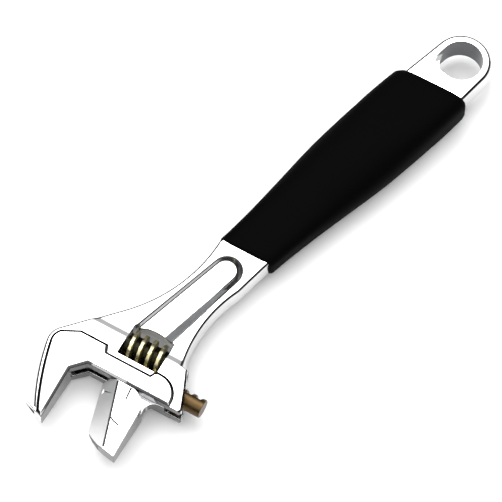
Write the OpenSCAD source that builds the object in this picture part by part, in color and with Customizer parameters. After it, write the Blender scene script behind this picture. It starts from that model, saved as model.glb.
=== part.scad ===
// Adjustable wrench with a reversible sliding jaw, a worm drive and a moulded grip.
// X runs along the jaw's slide, away from the fixed jaw. Y runs from the jaws to the handle.
// Z is the thickness, with the mid-plane at Z = 0.
// The origin is the middle of the fixed jaw's working face.

/* [Head] */
// Thickness of the head across its ground faces
head_t = 15.6; // [14:0.2:17]
// Height of the ground faces above the rim around them
ground_h = 1.1; // [0.5:0.1:1.5]
// Reach from the fixed jaw's face to the head's far corner
head_w = 50; // [48:1:54]
// Depth from the head's front wall to the worm pin
pin_y = 17.8; // [17.4:0.1:19]
// Depth of the head, from its front wall to the shoulder of the neck
shoulder_y = 18.4; // [17:0.2:20]

/* [Jaws] */
// Depth of the jaws, from the front wall to the tips
jaw_d = 29; // [27:0.5:32]
// Thickness at the jaw tips
tip_t = 8.6; // [7:0.2:10]
// Width of the fixed jaw at its root
jaw_w = 15.5; // [14:0.5:18]
// Size of the sloping corner in the throat
throat_c = 5.5; // [4:0.25:6]
// Gap between the jaws' roots in the modelled position
jaw_gap = 14; // [12:0.5:16]
// Thickness at the sliding jaw's tip
slide_tip_t = 7.6; // [6:0.2:9]
// Width of the sliding jaw at its root
slide_w = 21; // [19:0.5:22]
// Thickness of the web that joins the sliding jaw to its rack
web_t = 5; // [4:0.1:6]
// Free space around the web and in front of the jaw
web_c = 0.15; // [0.1:0.01:0.2]

/* [Rack and worm] */
// Radius of the round rack bar
rack_r = 4.1; // [3.8:0.1:4.3]
// Length of the rack bar
rack_l = 41.8; // [38:0.1:44]
// Distance from the front wall to the axis of the rack bar
rack_y = 8.2; // [7.8:0.1:8.4]
// Pitch of the worm and of the rack's teeth
pitch = 4.4; // [4:0.1:4.8]
// Depth of the rack's teeth
tooth_d = 2; // [1.6:0.1:2.2]
// Outer radius of the worm
worm_r = 7.3; // [6.9:0.05:7.35]
// Length of the worm
worm_l = 18.2; // [17:0.1:19]
// Free space between the worm's ends and the window
worm_c = 0.3; // [0.2:0.05:0.5]
// Free space between the rack's teeth and the worm's thread
mesh_c = 0.3; // [0.25:0.05:0.4]
// Radius of the worm pin
pin_r = 2; // [1.75:0.05:2.25]
// Running clearance of the worm on its pin
pin_c = 0.05; // [0.02:0.01:0.1]
// Radial clearance of the rack bar in its bore
rack_c = 0.1; // [0.05:0.01:0.15]
// Wire diameter of the worm spring
wire_d = 0.6; // [0.4:0.05:0.8]

/* [Handle] */
// Angle between the handle and the jaws
handle_a = 16.5; // [15:0.5:18]
// Length from the front wall to the handle's round end, along the handle
handle_l = 223.4; // [215:1:240]
// Width of the neck at its waist
neck_w = 19.4; // [18:0.2:22]
// Thickness of the neck beside the shoulder
neck_t = 11.4; // [10:0.2:13]
// Thickness of the neck where it enters the grip
tang_t = 10.6; // [9.6:0.2:12]
// Thickness of the hanging end
tail_t = 13.2; // [11:0.2:14]
// Width of the recess in the neck
recess_w = 13.4; // [11:0.2:14.4]
// Depth of the recess on each side
recess_d = 2.4; // [1.5:0.1:2.8]
// Radius of the round end
tail_r = 12.9; // [12.2:0.1:15]
// Radius of the hanging hole
hole_r = 9.6; // [8:0.2:10]
// Width of the flash land left in the corner of the hanging hole
land_t = 4; // [2:0.2:6]

/* [Grip] */
// Distance from the front wall to the start of the grip
grip_y0 = 77; // [74:0.2:80]
// Distance from the grip's far end to the handle's round end
grip_end = 30; // [28:0.2:36]
// Width of the grip at its thickest
grip_w = 35.2; // [32:0.2:38]
// Thickness of the grip at its thickest
grip_t = 23; // [21:0.5:28]
// Rounding of the grip's far end
end_r = 2.6; // [1:0.2:4]

/* [Hidden] */
$fn = 64;

far = 100;                                  // longer than any cut needs to be
face_mid = (jaw_d + throat_c) / 2;          // front wall to the middle of the jaw's face
axis_x = 14.8;                              // where the handle's axis meets the front wall
tail_y = handle_l - tail_r;                 // middle of the hanging hole, along the handle
rim_h = head_t / 2 - ground_h;              // height of the rim
mesh_r = worm_r - tooth_d;                  // radius of the worm at the root of its thread
crest_y = pin_y - mesh_r - 0.2;             // crest of the rack's teeth
window_x0 = 13.6;                           // window's side next to the fixed jaw
window_x1 = window_x0 + worm_l + 2 * worm_c;
window_y0 = pin_y - worm_r + 0.2;           // window's side next to the jaws
window_y1 = pin_y + worm_r + 0.3;           // window's far corners
window_arch = 2;                            // rise of the window's far side
bore_x0 = 1.6;                              // blind end of the rack's bore
jaw_x0 = jaw_gap;                           // back of the sliding jaw, at its root
jaw_x1 = jaw_gap + slide_w;                 // flat face of the sliding jaw
rack_x0 = jaw_x0 + 0.2;
mesh_x = rack_x0 + 1.4;                     // crest of the rack's first tooth
web_x0 = jaw_x0 + 2.2;
web_x1 = jaw_x1 + 7;
spring_d = 5.4;                             // depth of the spring's seat in the worm
spring_r = pin_r + 0.5 + wire_d / 2;        // radius of the spring's coils
spring_n = 4.5;                             // turns of the spring
pin_x0 = window_x0 - 5;                     // blind end of the pin's bore
grip_u0 = grip_y0 / cos(handle_a);          // start of the grip on the handle's axis
grip_u1 = handle_l - grip_end;
grip_y1 = grip_u1 * cos(handle_a);
grip_fine = 32;                             // points around the grip

// Moves a shape from the head's front wall to the origin at the middle of the jaw's face
module at_wall() {
    translate([0, face_mid, 0]) children();
}

// Places a shape on the handle's axis, with Y along the handle
module along_handle() {
    translate([axis_x, 0, 0]) rotate(-handle_a) children();
}

// A point given across and along the handle
function on_handle(v, u) = [axis_x + v * cos(handle_a) + u * sin(handle_a),
                            u * cos(handle_a) - v * sin(handle_a)];

// Points on an arc around c, from angle a0 to a1
function arc(c, r, a0, a1, n) = [for (i = [0:n])
    let (a = a0 + (a1 - a0) * i / n) c + r * [cos(a), sin(a)]];

// The same, with the centre given across and along the handle
function handle_arc(v, u, r, a0, a1, n) = arc(on_handle(v, u), r, a0 - handle_a, a1 - handle_a, n);

// A plate centred on the mid-plane
module plate(t, points) {
    linear_extrude(t, center = true) polygon(points);
}

// A plate seen from the side: its points are [y, half thickness], mirrored below the mid-plane
module side_plate(points) {
    under = [for (i = [len(points) - 1:-1:0]) [points[i].x, -points[i].y]];
    translate([-far, 0, 0]) rotate([90, 0, 90]) linear_extrude(3 * far) polygon(concat(points, under));
}

// ---- Frame: one forging with the fixed jaw, head, neck, tang and hanging end ----

neck_r0 = 70;                               // sweep of the neck on the fixed jaw's side
neck_r1 = 62;                               // sweep of the neck on the open side
waist_u = 57;                               // waist of the neck, along the handle
waist_v = 0.6;                              // middle of the waist, across the handle
tang_v = 10.4;                              // half width of the tang inside the grip
corner_r = 8;                               // round shoulder of the fixed jaw
corner = [corner_r - jaw_w, 3.2];           // its middle
sweep = on_handle(waist_v - neck_w / 2 - neck_r0, waist_u);     // middle of the sweep beside it

// A straight line touches the shoulder at this angle and runs on into the sweep
touch_a = atan2(sweep.y - corner.y, sweep.x - corner.x)
    + acos((corner_r + neck_r0) / norm(sweep - corner));

// Points that bow to the left of the way from p to q, without the ends
function bow(p, q, rise, n) = [for (i = [1:n - 1]) let (t = i / n, d = (q - p) / norm(q - p))
    p + t * (q - p) + 4 * rise * t * (1 - t) * [-d.y, d.x]];

function outer_jaw(inset, bulge, a0, a1) = let (
        tip = [0.8 * inset - 4.4, 1.4 - jaw_d],
        round = arc(corner, corner_r - inset, a0, a1, 16))
    concat([[0, -jaw_d], tip], bow(tip, round[0], bulge, 10), round);

function neck_side(s, r, a0, a1) =
    handle_arc(waist_v + s * (neck_w / 2 + r), waist_u, r, a0, a1, 20);

outline = concat(
    outer_jaw(0, 1.3, 190, touch_a),
    neck_side(-1, neck_r0, touch_a + handle_a - 180, 16),
    [on_handle(-tang_v, grip_u0 + 4), on_handle(-tang_v, tail_y - 29),
     on_handle(-tail_r - 1, tail_y - 22)],
    handle_arc(0, tail_y, tail_r, 177, 3, 40),
    [on_handle(tail_r + 1, tail_y - 22), on_handle(tang_v, tail_y - 29),
     on_handle(tang_v, grip_u0)],
    neck_side(1, neck_r1, 172, 211),
    [[head_w - 7, 18], [head_w - 3, 9], [head_w, 1.2], [head_w - 0.8, 0],
     [throat_c, 0], [0, -throat_c]]);

ground = concat(
    outer_jaw(1.6, 1, 190, 136),
    [[window_x0 - 18, 11.6], [window_x0 - 5, 11.6], [window_x0 - 3.6, 8.4],
     [window_x1 - 1.6, 8.4], [window_x1 - 0.4, 11.1]],
    arc([head_w - 15, 1.4], 9.6, 90, 0, 16),
    [[head_w - 5.4, 0], [throat_c, 0], [0, -throat_c]]);

// Half thickness of the jaws, head, neck, tang and end, seen from the side
jaw_side = [[-jaw_d - 1, tip_t / 2 - 0.15], [0, head_t / 2], [shoulder_y, head_t / 2]];
rim_side = [[-jaw_d - 1, tip_t / 2 - ground_h], [0, rim_h],
    [shoulder_y - 0.3, rim_h], [shoulder_y + 2.6, neck_t / 2],
    [grip_y0, tang_t / 2], [grip_y1 - 20, tang_t / 2], [grip_y1 - 4, tail_t / 2],
    [handle_l, tail_t / 2]];

module forging() {
    intersection() {
        plate(head_t, outline);
        side_plate(rim_side);
    }
    intersection() {
        plate(head_t, ground);
        side_plate(jaw_side);
    }
}

module window() {
    mid = (window_x0 + window_x1) / 2;
    half = (window_x1 - window_x0) / 2;
    r = (half * half + window_arch * window_arch) / (2 * window_arch);
    half_a = asin(half / r);
    plate(2 * head_t, concat(
        [[window_x0, window_y0], [window_x1, window_y0]],
        arc([mid, window_y1 + window_arch - r], r, 90 - half_a, 90 + half_a, 20)));
}

// The recess in the neck opens into the window and ends in a half circle
module recess(side) {
    floor_z = tang_t / 2 - recess_d;
    r = recess_w / 2;
    end_u = grip_u0 - 11.6;
    translate([0, 0, side > 0 ? floor_z : -floor_z - head_t]) linear_extrude(head_t) polygon(concat(
        [on_handle(waist_v - r - 1.6, window_y1 - 1), on_handle(waist_v + r + 0.8, window_y1 + 2)],
        handle_arc(waist_v, end_u, r, 0, 180, 24)));
}

// The hanging hole is a D with one sharp corner; a land at the mid-plane keeps it round there
module hanging_hole() {
    low_u = tail_y - hole_r - 1;
    along_handle() translate([0, tail_y, 0]) cylinder(h = 2 * head_t, r = hole_r, center = true);
    for (side = [-1, 1])
        translate([0, 0, side * (head_t + land_t) / 2]) plate(head_t, [
            on_handle(0, tail_y), on_handle(-hole_r, tail_y), on_handle(-hole_r, low_u),
            on_handle(-0.4, tail_y - hole_r)]);
}

module frame() {
    color("silver") at_wall() difference() {
        forging();
        window();
        recess(1);
        recess(-1);
        hanging_hole();
        // Bore for the rack bar, and the slot that lets the web through to the jaws
        translate([bore_x0, rack_y, 0]) rotate([0, 90, 0]) cylinder(h = far, r = rack_r + rack_c);
        translate([0, -far + rack_y, -web_t / 2 - web_c]) cube([far, far, web_t + 2 * web_c]);
        // Bore for the worm pin, open on the head's far side
        translate([pin_x0, pin_y, 0]) rotate([0, 90, 0]) cylinder(h = far, r = pin_r);
    }
}

// ---- Sliding jaw: blade, web and rack in one piece, shown with its sloping back to the gap ----

root_r = 8.6;                               // round corner of the blade above the web
fillet_r = 5;                               // fillet from the flat face to the web
land_h = 0.8;                               // half width of the land along the blade's back
crease = [6, 15.6];                         // from the back's root to the crease, at root and tip
back_lean = 7.1;                            // run of the land from root to tip

// A section across the blade at a share t of its depth, as [x, z] points
function blade_cut(t) = let (
        back = jaw_x0 - 0.7 + back_lean * t,
        edge = jaw_x0 + crease[0] + (crease[1] - crease[0]) * t,
        half = head_t / 2 - (head_t - slide_tip_t) / 2 * t)
    [[back, -land_h], [edge, -half], [jaw_x1, -half], [jaw_x1, half], [edge, half], [back, land_h]];

module blade_loft() {
    steps = 10;
    y0 = -web_c;
    y1 = -jaw_d - 1;
    points = [for (i = [0:steps]) for (p = blade_cut(i / steps))
        [p.x, y0 + (y1 - y0) * i / steps, p.y]];
    walls = [for (i = [0:steps - 1]) for (k = [0:5]) let (
            m = (k + 1) % 6, a = i * 6, b = a + 6)
        each [[a + k, b + m, a + m], [a + k, b + k, b + m]]];
    ends = [[for (k = [0:5]) k], [for (k = [5:-1:0]) steps * 6 + k]];
    polyhedron(points, concat(walls, ends));
}

blade_plan = [[jaw_x0 + 2.4, -web_c], [jaw_x0, -2.6], [jaw_x1 - 15.4, 5.4 - jaw_d],
    [jaw_x1 - 14.4, 4 - jaw_d], [jaw_x1 - 12.2, 2.6 - jaw_d], [jaw_x1 - 8.2, 0.9 - jaw_d],
    [jaw_x1, -jaw_d - 0.4], [jaw_x1, -web_c]];

module blade() {
    middle = [jaw_x1 - root_r, -web_c - root_r];
    difference() {
        intersection() {
            blade_loft();
            plate(head_t, blade_plan);
        }
        for (side = [-1, 1])
            translate([0, 0, side * (web_t / 2 + far / 2)]) plate(far, concat(
                arc(middle, root_r, 0, 82, 16), [[jaw_x1 - 6, 1], [jaw_x1 + 1, 1],
                 [jaw_x1 + 1, middle.y]]));
    }
}

module web() {
    plate(web_t, concat(
        [[web_x0, -6], [jaw_x1 - 1, -6], [jaw_x1, -web_c - fillet_r]],
        arc([jaw_x1 + fillet_r, -web_c - fillet_r], fillet_r, 170, 100, 6),
        [[web_x1, -web_c], [web_x1, rack_y], [web_x0, rack_y]]));
}

module rack() {
    lean = atan(pitch / (2 * PI * worm_r));
    top_w = pitch - 2.64 - 2 * mesh_c;      // width of a tooth at its crest
    low_w = pitch - 1.5 - 2 * mesh_c;       // and at its root
    difference() {
        intersection() {
            translate([rack_x0, rack_y, 0]) rotate([0, 90, 0]) cylinder(h = rack_l, r = rack_r);
            translate([0, crest_y - far, -far]) cube([2 * far, far, 2 * far]);
        }
        for (i = [-1:rack_l / pitch])
            translate([mesh_x + (i + 0.5) * pitch, 0, 0]) rotate([0, -lean, 0])
                linear_extrude(4 * rack_r, center = true) polygon([
                    [(low_w - pitch) / 2, crest_y - tooth_d], [(pitch - low_w) / 2, crest_y - tooth_d],
                    [(pitch - top_w) / 2, crest_y + 0.01], [(pitch - top_w) / 2, crest_y + 3],
                    [(top_w - pitch) / 2, crest_y + 3], [(top_w - pitch) / 2, crest_y + 0.01]]);
    }
}

module sliding_jaw() {
    color("gainsboro") at_wall() union() {
        blade();
        web();
        rack();
    }
}

// ---- Worm: thumb knurl with a right-hand thread, running on the pin ----

worm_x0 = window_x0 + worm_c;
worm_fine = 48;                             // points around the thread
worm_rings = 66;                            // rings along the thread

// Radius of the thread at a share of the pitch: 0 is the middle of a ridge
function thread_r(s) = let (d = min(s, 1 - s) * pitch)
    d < 0.75 ? worm_r : d > 1.32 ? mesh_r : worm_r - tooth_d * (d - 0.75) / 0.57;

function share(x) = x - floor(x);

module thread() {
    points = [for (i = [0:worm_rings]) let (x = worm_l * i / worm_rings)
        for (k = [0:worm_fine - 1]) let (
            a = 360 * k / worm_fine,
            r = thread_r(share((worm_x0 + x - mesh_x) / pitch - (a - 180) / 360 - 0.5)))
        [x, r * cos(a), r * sin(a)]];
    walls = [for (i = [0:worm_rings - 1]) for (k = [0:worm_fine - 1]) let (
            m = (k + 1) % worm_fine, a = i * worm_fine, b = a + worm_fine)
        each [[a + k, b + k, b + m], [a + k, b + m, a + m]]];
    ends = [[for (k = [0:worm_fine - 1]) k],
        [for (k = [worm_fine - 1:-1:0]) worm_rings * worm_fine + k]];
    polyhedron(points, concat(walls, ends));
}

module worm() {
    color("darkkhaki") at_wall() translate([worm_x0, pin_y, 0]) difference() {
        thread();
        translate([-1, 0, 0]) rotate([0, 90, 0]) cylinder(h = worm_l + 2, r = pin_r + pin_c);
        translate([worm_l - spring_d, 0, 0]) rotate([0, 90, 0])
            cylinder(h = far, r = spring_r + wire_d / 2 + 0.25);
    }
}

// ---- Worm pin: plain shank with a slotted end ----

module worm_pin() {
    pin_x1 = head_w - 8;
    color("dimgray") at_wall() translate([pin_x0 + 0.2, pin_y, 0]) difference() {
        rotate([0, 90, 0]) cylinder(h = pin_x1 - pin_x0 - 0.2, r = pin_r);
        translate([pin_x1 - pin_x0 - 1.2, -0.4, -pin_r - 1]) cube([far, 0.8, 2 * pin_r + 2]);
    }
}

// ---- Worm spring: takes up the worm's end play, seated in the worm ----

module worm_spring() {
    around = 8;
    steps = 16 * spring_n;
    free_l = spring_d + worm_c - wire_d - 0.1;
    points = [for (i = [0:steps]) let (t = i / steps, a = 360 * spring_n * t)
        for (k = [0:around - 1]) let (b = 360 * k / around, r = spring_r + wire_d / 2 * cos(b))
        [free_l * t + wire_d / 2 * sin(b), r * cos(a), r * sin(a)]];
    walls = [for (i = [0:steps - 1]) for (k = [0:around - 1]) let (
            m = (k + 1) % around, a = i * around, b = a + around)
        each [[a + k, a + m, b + m], [a + k, b + m, b + k]]];
    ends = [[for (k = [around - 1:-1:0]) k], [for (k = [0:around - 1]) steps * around + k]];
    color("gray") at_wall()
        translate([worm_x0 + worm_l - spring_d + wire_d / 2 + 0.05, pin_y, 0])
        polyhedron(points, concat(walls, ends));
}

// ---- Grip: elastomer moulded around the tang, its ends parallel to the slide ----

// Rises smoothly from 0 at the start to 1 at the grip's belly
function rise(t) = let (x = max(0, min(1, t / 0.65))) x * x * (3 - 2 * x);

// Share of the full width and of the full thickness along the grip
function width_share(t) = 0.7 + 0.3 * rise(t) - 0.05 * pow(max(0, t - 0.65) / 0.35, 2);
function thick_share(t) = 0.58 + 0.42 * rise(t) - 0.18 * pow(max(0, t - 0.65) / 0.35, 2);

// Squareness of the section: 2 is an ellipse, more is squarer. The ends are squarer than the belly
function blunt(t) = 5 - 2.4 * rise(t * 1.6) + 2.4 * rise((t - 0.6) * 1.625);

// How far a rounded end of radius r draws in at a distance d from it
function draw_in(d, r) = d < r ? r - sqrt(r * r - (r - d) * (r - d)) : 0;

// The rings lie parallel to the slide; they crowd together at the rounded ends
module grip_body() {
    start_r = 1;
    long = grip_y1 - grip_y0;
    stations = concat([0, 0.15, 0.5, start_r], [for (i = [1:22]) long * i / 23],
        [for (a = [0:22.5:90]) long - end_r * (1 - sin(a))]);
    points = [for (s = stations)
        let (w = grip_w / 2 * width_share(s / long) - draw_in(s, start_r) - draw_in(long - s, end_r),
            h = grip_t / 2 * thick_share(s / long) - draw_in(s, start_r)
                - 0.5 * draw_in(long - s, end_r))
        for (k = [0:grip_fine - 1]) let (a = 360 * k / grip_fine, c = cos(a), d = sin(a),
            b = blunt(s / long), r = pow(pow(abs(c), b) + pow(abs(d), b), -1 / b), y = grip_y0 + s)
        [axis_x + y * tan(handle_a) + (w * r * c - 0.3) / cos(handle_a), y, h * r * d]];
    last = len(stations) - 1;
    walls = [for (i = [0:last - 1]) for (k = [0:grip_fine - 1]) let (
            m = (k + 1) % grip_fine, a = i * grip_fine, b = a + grip_fine)
        each [[a + k, b + k, b + m], [a + k, b + m, a + m]]];
    ends = [[for (k = [0:grip_fine - 1]) k],
        [for (k = [grip_fine - 1:-1:0]) last * grip_fine + k]];
    polyhedron(points, concat(walls, ends));
}

module grip() {
    color("#1c1c1c") at_wall() difference() {
        grip_body();
        forging();
    }
}

frame();
sliding_jaw();
worm();
worm_pin();
worm_spring();
grip();
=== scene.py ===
import math

import bmesh
import bpy
from mathutils import Matrix, Vector


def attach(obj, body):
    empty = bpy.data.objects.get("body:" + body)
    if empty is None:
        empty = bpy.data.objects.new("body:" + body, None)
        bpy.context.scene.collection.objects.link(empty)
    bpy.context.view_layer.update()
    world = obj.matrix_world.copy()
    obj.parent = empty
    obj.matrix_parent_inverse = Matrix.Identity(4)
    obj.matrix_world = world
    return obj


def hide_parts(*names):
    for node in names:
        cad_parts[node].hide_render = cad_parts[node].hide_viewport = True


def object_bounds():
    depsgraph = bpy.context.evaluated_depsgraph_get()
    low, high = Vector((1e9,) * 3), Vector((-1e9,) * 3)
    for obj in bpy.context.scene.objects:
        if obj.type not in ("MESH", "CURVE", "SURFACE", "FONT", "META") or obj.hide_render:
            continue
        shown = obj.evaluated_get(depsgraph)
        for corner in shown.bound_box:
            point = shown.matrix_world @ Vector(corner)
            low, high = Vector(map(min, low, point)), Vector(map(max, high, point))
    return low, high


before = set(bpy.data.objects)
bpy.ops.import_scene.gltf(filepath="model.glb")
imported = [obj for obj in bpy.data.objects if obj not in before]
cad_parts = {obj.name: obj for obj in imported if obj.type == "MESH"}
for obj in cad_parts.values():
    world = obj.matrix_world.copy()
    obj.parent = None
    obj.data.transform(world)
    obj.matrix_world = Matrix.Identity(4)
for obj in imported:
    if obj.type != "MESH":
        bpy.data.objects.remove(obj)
cad_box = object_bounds()
MM = 0.001


# ---- Frame ---------------------------------------------------------------------------------------
# One steel forging: fixed jaw, head, neck and hanging end. It is taken to be drop forged with
# rounded edges, then ground flat on the head's two faces and chrome plated.

def only(piece):
    bpy.ops.object.select_all(action="DESELECT")
    piece.select_set(True)
    bpy.context.view_layer.objects.active = piece


def working_copy(node, name, flat_deg):
    """A copy of a CAD node with its loose triangles merged into whole faces."""
    piece = bpy.data.objects.new(name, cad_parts[node].data.copy())
    piece.data.name = name
    piece.data.materials.clear()
    bpy.context.scene.collection.objects.link(piece)
    only(piece)
    bpy.ops.mesh.customdata_custom_splitnormals_clear()
    bpy.ops.object.mode_set(mode="EDIT")
    bpy.ops.mesh.select_all(action="SELECT")
    bpy.ops.mesh.remove_doubles(threshold=0.004 * MM)
    bpy.ops.mesh.dissolve_limited(angle_limit=math.radians(flat_deg))
    bpy.ops.mesh.select_all(action="SELECT")
    bpy.ops.mesh.dissolve_degenerate(threshold=0.12 * MM)
    bpy.ops.object.mode_set(mode="OBJECT")
    return piece


def smooth_forging(piece):
    """Smooth shading round the edges, with the flat faces kept flat."""
    only(piece)
    bpy.ops.object.shade_smooth_by_angle(angle=math.radians(30))
    settle = piece.modifiers.new("flat_faces_stay_flat", "WEIGHTED_NORMAL")
    settle.keep_sharp = True
    bpy.ops.object.modifier_apply(modifier=settle.name)


def round_edges(piece, radius_of, widest, segments, sharp_deg=24):
    """Rounds each sharp edge by radius_of(middle, direction, is_convex), in metres."""
    bm = bmesh.new()
    bm.from_mesh(piece.data)
    weight = bm.edges.layers.float.get("bevel_weight_edge")
    if weight is None:
        weight = bm.edges.layers.float.new("bevel_weight_edge")
    for edge in bm.edges:
        edge[weight] = 0
        if len(edge.link_faces) == 2 and edge.calc_face_angle() > math.radians(sharp_deg):
            a, b = edge.verts[0].co, edge.verts[1].co
            radius = radius_of((a + b) / 2, (b - a).normalized(), edge.is_convex)
            edge[weight] = min(1, radius / widest)
    bm.to_mesh(piece.data)
    bm.free()
    bevel = piece.modifiers.new("rounding", "BEVEL")
    bevel.limit_method = "WEIGHT"
    bevel.width = widest
    bevel.segments = segments
    bevel.use_clamp_overlap = False
    only(piece)
    bpy.ops.object.modifier_apply(modifier=bevel.name)


handle_lean = math.radians(16.5)
handle_root = Vector((14.8 * MM, 17.25 * MM, 0))


def on_handle(point):
    """A point's place across and along the handle."""
    p = point - handle_root
    return (p.x * math.cos(handle_lean) - p.y * math.sin(handle_lean),
            p.x * math.sin(handle_lean) + p.y * math.cos(handle_lean))


shoulder = 35.6 * MM
window_side = (13.6 * MM, 32.4 * MM)
window_depth = (27.9 * MM, 44.6 * MM)
hole_at = 210.5 * MM
recess_end = 68.7 * MM
recess_half = 6.7 * MM
neck_mid = 0.6 * MM


def draft_recess(piece):
    """Draws the recess's floor in from its edge, so that its walls slope."""
    for v in piece.data.vertices:
        across, along = on_handle(v.co)
        across -= neck_mid
        past = max(0, along - recess_end)
        out = math.hypot(across, past)
        if not (2.5 * MM < abs(v.co.z) < 3.3 * MM and v.co.y > 41 * MM and along < 80 * MM):
            continue
        if out < recess_half - 1.5 * MM or out > recess_half + 3 * MM:
            continue
        draft = 0.6 * MM
        if past > 0:
            draft += 1.35 * MM * max(0, across / recess_half + 1)
        elif across > 0 and along > 40 * MM:
            draft = 3.3 * MM
        keep = 1 - draft / out
        moved_across, moved_past = across * keep, past * keep
        d = Vector((moved_across - across, moved_past - past, 0))
        d.rotate(Matrix.Rotation(-handle_lean, 3, "Z"))
        v.co += d


def ground_height(y):
    """Height of the ground faces at a place along Y; they fall away towards the jaws' tips."""
    return 7.8 * MM - max(0, 17.25 * MM - y) * 3.65 / 30


def ramp_ground_faces(piece, width, drop):
    """Draws the border of the ground faces down, as the forging's soft shoulder."""
    bm = bmesh.new()
    bm.from_mesh(piece.data)
    ground = [f for f in bm.faces if abs(f.normal.z) > 0.95
              and abs(abs(f.calc_center_median().z) - ground_height(f.calc_center_median().y)) < 0.1 * MM]
    ring = bmesh.ops.inset_region(bm, faces=ground, thickness=width, use_boundary=True,
                                  use_even_offset=True)["faces"]
    inner = {v for f in ground for v in f.verts}
    for v in {v for f in ring for v in f.verts} - inner:
        v.co.z -= math.copysign(drop, v.co.z)
    bm.to_mesh(piece.data)
    bm.free()


def frame_rounding(at, way, convex):
    across, along = on_handle(at)
    high = abs(at.z)
    if along > 180 * MM:
        round_rim = math.hypot(across, along - hole_at) < 10.6 * MM
        corner_rim = abs(across) < 10.2 * MM and along < hole_at
        if round_rim or corner_rim:
            return 0
        if abs(way.z) > 0.7:
            return 0.35 * MM
        return 1.5 * MM
    if abs(way.z) > 0.7:
        return 0.3 * MM
    in_window = window_side[0] - 0.3 * MM < at.x < window_side[1] + 0.3 * MM
    if in_window and window_depth[0] - 0.3 * MM < at.y < window_depth[1] + 0.6 * MM:
        if not convex:
            return 0.15 * MM
        return 0.5 * MM if at.y > 41.5 * MM and high < 4 * MM else 0.35 * MM
    from_neck = abs(across - neck_mid)
    if at.y > shoulder + 3.2 * MM and from_neck < 8.9 * MM and along < 78 * MM:
        if not convex:
            return 0.5 * MM
        return 0.6 * MM
    if abs(way.x) > 0.95 and shoulder - 1 * MM < at.y < shoulder + 3.2 * MM:
        return 0.6 * MM
    if at.y > shoulder - 1 * MM:
        return 1.2 * MM
    if ground_height(at.y) - high < 0.75 * MM or not convex:
        return 0.25 * MM
    if high > 2.8 * MM and (at.y > 17.6 * MM or at.x < -1 * MM):
        return 1.2 * MM
    return 0.35 * MM


def cut_across(piece, at, normal):
    """Adds a flat cut line right round the piece, so that no face has a hole in it."""
    only(piece)
    bpy.ops.object.mode_set(mode="EDIT")
    bpy.ops.mesh.select_all(action="SELECT")
    bpy.ops.mesh.bisect(plane_co=at, plane_no=normal)
    bpy.ops.object.mode_set(mode="OBJECT")


up_handle = Vector((math.sin(handle_lean), math.cos(handle_lean), 0))
forging = working_copy("frame", "forged_frame", 0.6)
cut_across(forging, handle_root + up_handle * (hole_at + 3 * MM), up_handle)
cut_across(forging, handle_root + up_handle * 50 * MM, up_handle)
cut_across(forging, (0, 33.5 * MM, 0), (0, 1, 0))
draft_recess(forging)
ramp_ground_faces(forging, 1.25 * MM, 0.58 * MM)
round_edges(forging, frame_rounding, 1.5 * MM, 5, 12)
smooth_forging(forging)


def feed(tree, value, socket):
    """Links another node's output to a socket, or sets the socket to a fixed value."""
    if isinstance(value, bpy.types.NodeSocket):
        tree.links.new(value, socket)
    else:
        socket.default_value = value


def map_run(tree, value, low, high, to_low=0, to_high=1):
    """Maps a value's run from low to high onto another run."""
    node = tree.nodes.new("ShaderNodeMapRange")
    for name, end in (("From Min", low), ("From Max", high), ("To Min", to_low), ("To Max", to_high)):
        node.inputs[name].default_value = end
    feed(tree, value, node.inputs["Value"])
    return node.outputs["Result"]


def reckon(tree, operation, *values, clamp=False):
    node = tree.nodes.new("ShaderNodeMath")
    node.operation = operation
    node.use_clamp = clamp
    for value, socket in zip(values, node.inputs):
        feed(tree, value, socket)
    return node.outputs["Value"]


def vector_reckon(tree, operation, vector, fixed, result):
    node = tree.nodes.new("ShaderNodeVectorMath")
    node.operation = operation
    feed(tree, vector, node.inputs[0])
    if fixed is not None:
        feed(tree, fixed, node.inputs[1])
    return node.outputs[result]


def mix_colour(tree, share, plain, other, blend="MIX"):
    """The plain colour where share is 0, the other where it is 1."""
    node = tree.nodes.new("ShaderNodeMix")
    node.data_type = "RGBA"
    node.blend_type = blend
    feed(tree, share, node.inputs["Factor"])
    feed(tree, plain, node.inputs["A"])
    feed(tree, other, node.inputs["B"])
    return node.outputs["Result"]


def split_axes(tree, vector):
    node = tree.nodes.new("ShaderNodeSeparateXYZ")
    tree.links.new(vector, node.inputs["Vector"])
    return node.outputs


def colour_steps(ramp, steps):
    """Sets a colour ramp to greys: its own two ends first, then what lies between."""
    for stop, (at, shade) in zip(ramp.elements, (steps[0], steps[-1])):
        stop.position = at
        stop.color = (shade, shade, shade, 1)
    for at, shade in steps[1:-1]:
        ramp.elements.new(at).color = (shade, shade, shade, 1)


# The grain that all the metal shares: fine scratches along one way, and soft blotches

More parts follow.
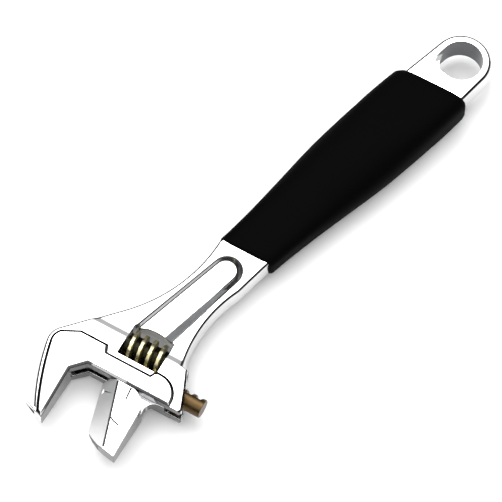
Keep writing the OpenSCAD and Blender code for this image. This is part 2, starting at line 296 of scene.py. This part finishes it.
def metal_grain():
    group = bpy.data.node_groups.new("metal_grain", "ShaderNodeTree")
    sock = group.interface.new_socket
    sock(name="Grain Size", in_out="INPUT", socket_type="NodeSocketFloat")
    sock(name="Stretch", in_out="INPUT", socket_type="NodeSocketVector")
    sock(name="Scratches", in_out="OUTPUT", socket_type="NodeSocketFloat")
    sock(name="Blotches", in_out="OUTPUT", socket_type="NodeSocketFloat")
    n, link = group.nodes, group.links.new
    given = n.new("NodeGroupInput")
    out = n.new("NodeGroupOutput")
    place = n.new("ShaderNodeTexCoord")
    scale = n.new("ShaderNodeVectorMath")
    scale.operation = "MULTIPLY"
    link(place.outputs["Object"], scale.inputs[0])
    link(given.outputs["Stretch"], scale.inputs[1])
    fine = n.new("ShaderNodeTexNoise")
    fine.inputs["Detail"].default_value = 5
    link(scale.outputs[0], fine.inputs["Vector"])
    link(given.outputs["Grain Size"], fine.inputs["Scale"])
    broad = n.new("ShaderNodeTexNoise")
    broad.inputs["Scale"].default_value = 70
    broad.inputs["Detail"].default_value = 4
    link(place.outputs["Object"], broad.inputs["Vector"])
    link(fine.outputs["Fac"], out.inputs["Scratches"])
    link(broad.outputs["Fac"], out.inputs["Blotches"])
    return group


grain = metal_grain()


def metal(name, dark, light, rough_low, rough_high, grain_size, stretch, bump):
    """A worked metal: its colour and its roughness follow the shared grain."""
    made = bpy.data.materials.new(name)
    made.use_nodes = True
    n, link = made.node_tree.nodes, made.node_tree.links.new
    shader = n["Principled BSDF"]
    shader.inputs["Metallic"].default_value = 1
    worked = n.new("ShaderNodeGroup")
    worked.node_tree = grain
    worked.inputs["Grain Size"].default_value = grain_size
    worked.inputs["Stretch"].default_value = stretch
    tint = n.new("ShaderNodeValToRGB")
    tint.color_ramp.elements[0].position = 0.3
    tint.color_ramp.elements[0].color = (*dark, 1)
    tint.color_ramp.elements[1].position = 0.7
    tint.color_ramp.elements[1].color = (*light, 1)
    link(worked.outputs["Blotches"], tint.inputs["Fac"])
    link(tint.outputs["Color"], shader.inputs["Base Color"])
    rough = map_run(made.node_tree, worked.outputs["Scratches"], 0.3, 0.7, rough_low, rough_high)
    link(rough, shader.inputs["Roughness"])
    relief = n.new("ShaderNodeBump")
    relief.inputs["Strength"].default_value = bump
    relief.inputs["Distance"].default_value = 0.02 * MM
    link(worked.outputs["Scratches"], relief.inputs["Height"])
    link(relief.outputs["Normal"], shader.inputs["Normal"])
    return made


reflected_shade_grey = (0.15, 0.15, 0.155, 1)
chrome = metal("satin_chrome", (0.80, 0.80, 0.81), (0.88, 0.88, 0.88), 0.08, 0.16, 900,
               (1, 1, 1), 0.05)
plating = chrome.node_tree
shader = plating.nodes["Principled BSDF"]
spot = plating.nodes.new("ShaderNodeTexCoord").outputs["Object"]
spot_axes = split_axes(plating, spot)
facing = plating.nodes.new("ShaderNodeNewGeometry").outputs["Normal"]

# The shoulder between the head and the neck is made duller, as if left as forged
from_shoulder = reckon(plating, "ABSOLUTE",
                       reckon(plating, "SUBTRACT", spot_axes["Y"], shoulder + 1.6 * MM))
forged_dull = map_run(plating, from_shoulder, 3 * MM, 1.8 * MM, 0, 0.42)
plated_dull = plating.nodes["Map Range"].outputs["Result"]
feed(plating, reckon(plating, "ADD", forged_dull, plated_dull), shader.inputs["Roughness"])

# The jaw's working face and the throat are painted grey: painted shade, standing for the shaded floor
# that these faces reflect. The grey also reads as bare steel, as if machined after plating
towards_gap = vector_reckon(plating, "DOT_PRODUCT", facing, (0.707, -0.707, 0), "Value")
gap_face_shade = reckon(plating, "MULTIPLY", map_run(plating, towards_gap, 0.55, 0.62),
                  reckon(plating, "LESS_THAN", spot_axes["Y"], 18 * MM))
plated = plating.nodes["Color Ramp"].outputs["Color"]
shaded_or_plated = mix_colour(plating, gap_face_shade, plated, reflected_shade_grey)

# Rounded edges are darkened by how steeply they stand, less so beside the recess: painted reflection
# of the dark surroundings that bright plating shows there. Gently sloping faces, such as the shoulder
# between head and neck, get a lighter painted shade
upright = reckon(plating, "ABSOLUTE", split_axes(plating, facing)["Z"])
edge = plating.nodes.new("ShaderNodeValToRGB")
colour_steps(edge.color_ramp,
             ((0.18, 1), (0.35, 0.06), (0.915, 0.06), (0.93, 0.45), (0.955, 0.45), (0.97, 1)))
feed(plating, upright, edge.inputs["Fac"])
axis_shift = (handle_root.x * math.cos(handle_lean) - handle_root.y * math.sin(handle_lean)
              + neck_mid)
across_handle = vector_reckon(plating, "DOT_PRODUCT", spot,
                              (math.cos(handle_lean), -math.sin(handle_lean), 0), "Value")
beside = reckon(plating, "ABSOLUTE", reckon(plating, "SUBTRACT", across_handle, axis_shift))
outside_recess = map_run(plating, beside, 7.6 * MM, 8.2 * MM, 0.72, 1)
edge_shaded = mix_colour(plating, outside_recess, shaded_or_plated, edge.outputs["Color"], "MULTIPLY")

# The hanging hole's wall is painted a darker grey: painted shade inside the hole
from_hole = vector_reckon(plating, "DISTANCE", spot, handle_root + up_handle * hole_at, "Value")
hole_wall_shade = reckon(plating, "MULTIPLY", map_run(plating, from_hole, 11.9 * MM, 11.5 * MM),
                   map_run(plating, upright, 0.6, 0.4))
feed(plating, mix_colour(plating, hole_wall_shade, edge_shaded, (0.16, 0.165, 0.17, 1)),
     shader.inputs["Base Color"])
forging.data.materials.append(chrome)
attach(forging, "frame")
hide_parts("frame")


# The recess's far wall is given a wide slope by a three-sided piece on each face of the neck. They
# stand for the forging's own wall and are no separate parts
# Their grey is painted shade for the sloping wall, and they are rougher than the plating
flank_shade_grey = metal("forged_flank", (0.40, 0.41, 0.42), (0.62, 0.63, 0.64), 0.3, 0.45, 700, (1, 1, 1), 0.1)


def beside_recess(across, along, z):
    return handle_root + Vector((across * math.cos(handle_lean) + along * math.sin(handle_lean),
                                 along * math.cos(handle_lean) - across * math.sin(handle_lean),
                                 z)) * MM


for side in (1, -1):
    bpy.ops.object.select_all(action="DESELECT")
    bpy.ops.mesh.primitive_cylinder_add(vertices=3, radius=1, depth=2)
    flank = bpy.context.object
    flank.name = "recess_flank_top" if side > 0 else "recess_flank_under"
    near = [(7.9, 29.7, 5.55), (7.9, 29.7, 2.8), (3.4, 29.1, 2.8)]
    end = [(7.25, 68.0, 5.25), (7.25, 68.0, 2.8), (4.1, 68.0, 2.8)]
    for v in flank.data.vertices:
        spot = (near if v.co.z < 0 else end)[round(math.degrees(math.atan2(v.co.x, v.co.y)) / 120) % 3]
        v.co = beside_recess(spot[0], spot[1], side * spot[2])
    bpy.ops.object.mode_set(mode="EDIT")
    bpy.ops.mesh.select_all(action="SELECT")
    bpy.ops.mesh.normals_make_consistent(inside=False)
    bpy.ops.mesh.bevel(offset=0.08 * MM, segments=2, affect="EDGES")
    bpy.ops.object.mode_set(mode="OBJECT")
    flank.data.materials.append(flank_shade_grey)
    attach(flank, "frame")


# ---- Sliding jaw ---------------------------------------------------------------------------------
# One forging: the blade with its sloping back, the thin web that runs in the head's slot, and the
# round rack. The blade is shown chromed, and the rack with a yellow-brown phosphate coating.

def jaw_rounding(at, way, convex):
    return 0.2 * MM if at.y > 17.3 * MM else 0.3 * MM


slider = working_copy("sliding_jaw", "forged_sliding_jaw", 0.6)
round_edges(slider, jaw_rounding, 0.3 * MM, 3, 12)
smooth_forging(slider)

coated = metal("chrome_and_phosphate", (0.80, 0.80, 0.81), (0.88, 0.88, 0.88), 0.08, 0.16, 900,
               (1, 1, 1), 0.15)
coat = coated.node_tree
shader = coat.nodes["Principled BSDF"]
spot_axes = split_axes(coat, coat.nodes.new("ShaderNodeTexCoord").outputs["Object"])
turned = split_axes(coat, coat.nodes.new("ShaderNodeNewGeometry").outputs["Normal"])
rack_side = map_run(coat, spot_axes["Y"], 20.4 * MM, 21.2 * MM)
brown = mix_colour(coat, rack_side, coat.nodes["Color Ramp"].outputs["Color"],
                   (0.085, 0.055, 0.025, 1))

# Its flat face and its tip are painted grey: painted shade, standing for the shaded floor they reflect,
# and read as bare steel too. Its sloping back is made duller, as if forged
working = map_run(coat, turned["X"], 0.9, 0.97)
tip = map_run(coat, turned["Y"], -0.4, -0.5)
ground = reckon(coat, "MULTIPLY", reckon(coat, "ADD", working, tip, clamp=True),
                reckon(coat, "SUBTRACT", 1, rack_side))
feed(coat, mix_colour(coat, ground, brown, reflected_shade_grey), shader.inputs["Base Color"])
duller = reckon(coat, "MULTIPLY_ADD", rack_side, 0.25, coat.nodes["Map Range"].outputs["Result"])
as_forged = map_run(coat, turned["X"], -0.18, -0.34, 0, 0.45)
feed(coat, reckon(coat, "ADD", duller, as_forged), shader.inputs["Roughness"])
slider.data.materials.append(coated)
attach(slider, "jaw")
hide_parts("sliding_jaw")


# ---- Marks ---------------------------------------------------------------------------------------
# The head has an opening scale in millimetres, filled dark. The sliding jaw has an index line that
# reads against it, and its crease and a short branch are drawn as dark lines too.

ink = metal("filled_marks", (0.02, 0.02, 0.02), (0.05, 0.05, 0.05), 0.5, 0.7, 1500, (1, 1, 1), 0.2)
grey_ink = metal("worn_marks", (0.03, 0.03, 0.03), (0.10, 0.10, 0.10), 0.4, 0.6, 1500, (1, 1, 1), 0.2)


def stroke(start, end, width, depth):
    """A short straight groove's filling, from start to end."""
    way = Vector(end) - Vector(start)
    bpy.ops.object.select_all(action="DESELECT")
    bpy.ops.mesh.primitive_cube_add(size=1, location=(Vector(start) + Vector(end)) / 2)
    made = bpy.context.object
    made.scale = (way.length, width, depth)
    made.rotation_euler = (0, -math.asin(way.z / way.length), math.atan2(way.y, way.x))
    bpy.ops.object.transform_apply(location=True, rotation=True, scale=True)
    bpy.ops.object.mode_set(mode="EDIT")
    bpy.ops.mesh.select_all(action="SELECT")
    bpy.ops.mesh.bevel(offset=depth * 0.3, segments=2, affect="EDGES")
    bpy.ops.object.mode_set(mode="OBJECT")
    return made


def one_piece(parts, name):
    bpy.ops.object.select_all(action="DESELECT")
    for part in parts:
        part.select_set(True)
    bpy.context.view_layer.objects.active = parts[0]
    bpy.ops.object.join()
    parts[0].name = name
    parts[0].data.name = name
    return parts[0]


ground_z = 7.8 * MM
front_y = 17.25 * MM
scale_x = 9.2 * MM
marks = []
for mm in range(31):
    x = scale_x + mm * MM
    reach = 2.0 if mm % 10 == 0 else 1.5 if mm % 5 == 0 else 1.1
    marks.append(stroke((x, front_y + 0.8 * MM, ground_z), (x, front_y + reach * MM, ground_z),
                        0.3 * MM, 0.1 * MM))
for tens in range(4):
    bpy.ops.object.select_all(action="DESELECT")
    bpy.ops.object.text_add(location=(scale_x + tens * 10 * MM, front_y + 4 * MM, ground_z - 0.02 * MM),
                            rotation=(0, 0, math.pi))
    figure = bpy.context.object
    figure.data.body = str(tens * 10)
    figure.data.size = 2.8 * MM
    figure.data.offset = 0.04 * MM
    figure.data.align_x = "CENTER"
    figure.data.extrude = 0.06 * MM
    bpy.ops.object.convert(target="MESH")
    bpy.ops.object.transform_apply(location=True, rotation=True, scale=True)
    marks.append(bpy.context.object)
opening_scale = one_piece(marks, "opening_scale")
opening_scale.data.materials.clear()
opening_scale.data.materials.append(grey_ink)
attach(opening_scale, "frame")


def on_blade(x, y):
    """A point on the blade's sloping top, from its place beyond the head's front wall."""
    return (x * MM, front_y + y * MM, ground_z + (y + 0.15) * 0.134 * MM)


index_line = stroke(on_blade(26.95, -0.6), on_blade(27.4, -6.0), 0.75 * MM, 0.16 * MM)
index_line.name = "index_line"
blade_lines = [stroke(on_blade(25.6, -15.3), on_blade(27.6, -16.3), 0.75 * MM, 0.16 * MM),
               stroke(on_blade(27.5, -16.25), on_blade(30.3, -16.8), 0.75 * MM, 0.16 * MM),
               stroke(on_blade(20.5, -0.4), on_blade(29.2, -27.6), 0.9 * MM, 0.16 * MM)]
cut_line = one_piece(blade_lines, "cut_line")
for mark in (index_line, cut_line):
    mark.data.materials.append(ink)
    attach(mark, "jaw")


# ---- Worm, its pin and its spring ----------------------------------------------------------------
# The worm is a turned steel thumb wheel, modelled with a right-hand thread, yellow-brown. It runs
# on a plain steel pin, and a small coil spring seated in its end takes up the play.

worm = bpy.data.objects.new("turned_worm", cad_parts["worm"].data.copy())
worm.data.materials.clear()
bpy.context.scene.collection.objects.link(worm)
only(worm)
bpy.ops.mesh.customdata_custom_splitnormals_clear()
bpy.ops.object.mode_set(mode="EDIT")
bpy.ops.mesh.select_all(action="SELECT")
bpy.ops.mesh.remove_doubles(threshold=0.004 * MM)
bpy.ops.mesh.tris_convert_to_quads(face_threshold=math.radians(50), shape_threshold=math.radians(180))
bpy.ops.object.mode_set(mode="OBJECT")
bpy.ops.object.shade_smooth_by_angle(angle=math.radians(28))

phosphate = metal("yellow_phosphate", (0.30, 0.27, 0.13), (0.62, 0.57, 0.36), 0.2, 0.38, 1400,
                  (1, 1, 1), 0.3)
pin_axis_y = 35.05 * MM
film = phosphate.node_tree
spot = film.nodes.new("ShaderNodeTexCoord").outputs["Object"]
from_axis = vector_reckon(film, "SUBTRACT", spot, (0, pin_axis_y, 0), "Vector")
squared_up = vector_reckon(film, "MULTIPLY", from_axis, (0, 1, 1), "Vector")
# Everything within 5.35 mm of the axis, the thread's grooves and the middle of the worm's ends, is
# painted near-black, fading to the coating's colour by 5.9 mm: painted shade
clear_of_groove_shade = map_run(film, vector_reckon(film, "LENGTH", squared_up, None, "Value"), 5.35 * MM, 5.9 * MM)
feed(film, mix_colour(film, clear_of_groove_shade, (0.01, 0.01, 0.006, 1), film.nodes["Color Ramp"].outputs["Color"]),
     film.nodes["Principled BSDF"].inputs["Base Color"])
worm.data.materials.append(phosphate)
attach(worm, "worm")
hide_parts("worm")

oiled = metal("oiled_steel", (0.12, 0.12, 0.12), (0.3, 0.3, 0.3), 0.25, 0.45, 1200, (4, 1, 1), 0.3)
for node in ("worm_pin", "worm_spring"):
    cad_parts[node].data.materials.clear()
    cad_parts[node].data.materials.append(oiled)


# ---- Grip ----------------------------------------------------------------------------------------
# A thick sleeve of black elastomer, moulded straight onto the tang. Its ends are cut off parallel
# to the jaws and softly rounded. It is plain black, with no grain.

rubber = bpy.data.materials.new("black_elastomer")
rubber.use_nodes = True
skin = rubber.node_tree.nodes
skin["Principled BSDF"].inputs["Base Color"].default_value = (0.0006, 0.0008, 0.0006, 1)
skin["Principled BSDF"].inputs["Roughness"].default_value = 0.6
skin["Principled BSDF"].inputs["Specular IOR Level"].default_value = 0.02
sleeve = working_copy("grip", "moulded_grip", 0.2)
bpy.ops.object.shade_smooth_by_angle(angle=math.radians(40))
sleeve.data.materials.append(rubber)
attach(sleeve, "frame")
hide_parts("grip")


# ---- Studio --------------------------------------------------------------------------------------
# A pale sheet under the tool, a wide soft light overhead and dark flags low down around it, which
# draw the dark lines along the chromed edges.

bpy.ops.object.select_all(action="DESELECT")
bpy.ops.mesh.primitive_plane_add(size=6, location=(0.06, 0.1, cad_box[0][2]))
sheet = bpy.context.object
sheet.name = "floor"
paper = bpy.data.materials.new("pale_sheet")
paper.use_nodes = True
paper.node_tree.nodes["Principled BSDF"].inputs["Base Color"].default_value = (0.9, 0.9, 0.9, 1)
paper.node_tree.nodes["Principled BSDF"].inputs["Roughness"].default_value = 0.9
sheet.data.materials.append(paper)

world = bpy.data.worlds.new("studio")
bpy.context.scene.world = world
world.use_nodes = True
w, wire = world.node_tree.nodes, world.node_tree.links.new
where = w.new("ShaderNodeTexCoord")
split = w.new("ShaderNodeSeparateXYZ")
wire(where.outputs["Generated"], split.inputs["Vector"])
band = w.new("ShaderNodeValToRGB")
colour_steps(band.color_ramp,
             ((0, 0.75), (0.01, 0.4), (0.12, 0.04), (0.58, 0.03), (0.76, 0.95), (0.90, 1)))
wire(split.outputs["Z"], band.inputs["Fac"])
wire(band.outputs["Color"], w["Background"].inputs["Color"])
w["Background"].inputs["Strength"].default_value = 2.3

lamp = bpy.data.lights.new("overhead", "AREA")
lamp.shape = "SQUARE"
lamp.size = 1.2
lamp.energy = 14
softbox = bpy.data.objects.new("overhead", lamp)
softbox.location = (-0.5, 0.6, 1.5)
softbox.rotation_euler = (Vector((0.06, 0.1, 0)) - softbox.location).to_track_quat("-Z", "Y").to_euler()
bpy.context.scene.collection.objects.link(softbox)

camera = bpy.data.objects.new("camera", bpy.data.cameras.new("camera"))
camera.data.lens = 215.14
camera.data.sensor_width = 36
camera.location = (0.29753, -0.34884, 1.16687)
camera.rotation_euler = (0.41680, 0.00499, 0.51519)
bpy.context.scene.collection.objects.link(camera)
bpy.context.scene.camera = camera
bpy.context.scene.view_settings.view_transform = "Standard"
